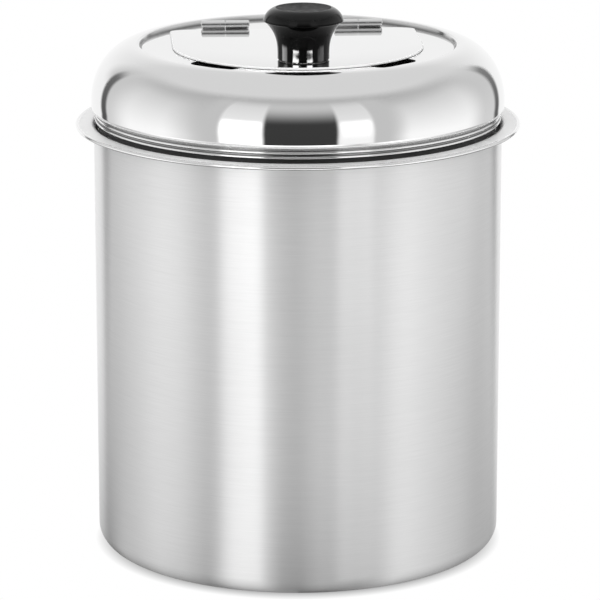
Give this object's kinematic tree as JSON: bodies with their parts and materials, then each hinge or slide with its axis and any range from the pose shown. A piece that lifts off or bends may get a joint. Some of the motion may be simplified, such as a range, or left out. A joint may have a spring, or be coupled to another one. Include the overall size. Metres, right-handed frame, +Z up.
{
  "type": "soup inset with hinged lid",
  "caption": "Round stainless soup inset: a deep-drawn pot with a flat flange, and a domed lift-off lid with a hinged flap, ladle notches and a black knob.",
  "frame": {"origin": "Centre of the pot's flat base, at its lowest point.", "axes": "+Z up along the pot's axis; the knob and the flap's round end are towards -Y, the hinges towards +Y; X runs along the hinge line."},
  "size_m": [0.232, 0.232, 0.2937],
  "materials": {
    "pot_steel": "brushed stainless steel, horizontal grain",
    "lid_steel": "polished stainless steel",
    "hinge_steel": "plain stainless steel",
    "screw_steel": "plain stainless steel",
    "phenolic": "glossy black phenolic",
    "brass": "plain turned brass",
    "fibre": "dark heat-resistant fibre"
  },
  "bodies": {
    "pot": {"inset_pot": "pot_steel"},
    "lid": {"lid_cover": "lid_steel", "hinge_left_lid_leaf": "hinge_steel", "hinge_right_lid_leaf": "hinge_steel", "hinge_left_pin": "hinge_steel", "hinge_right_pin": "hinge_steel"},
    "flap": {"lid_flap": "lid_steel", "hinge_left_flap_leaf": "hinge_steel", "hinge_right_flap_leaf": "hinge_steel", "knob": "phenolic", "knob_insert": "brass", "knob_base_washer": "fibre", "knob_lock_washer": "screw_steel", "knob_screw": "screw_steel"}
  },
  "joints": [
    {"name": "lid_lift", "type": "slide", "parent": "pot", "child": "lid", "axis": [0, 0, 1], "range_m": [0, 0.12]},
    {"name": "flap_hinge", "type": "hinge", "parent": "lid", "child": "flap", "pos_m": [0, 0.04947, 0.26905], "axis": [-1, 0, 0], "range_deg": [0, 170]}
  ]
}
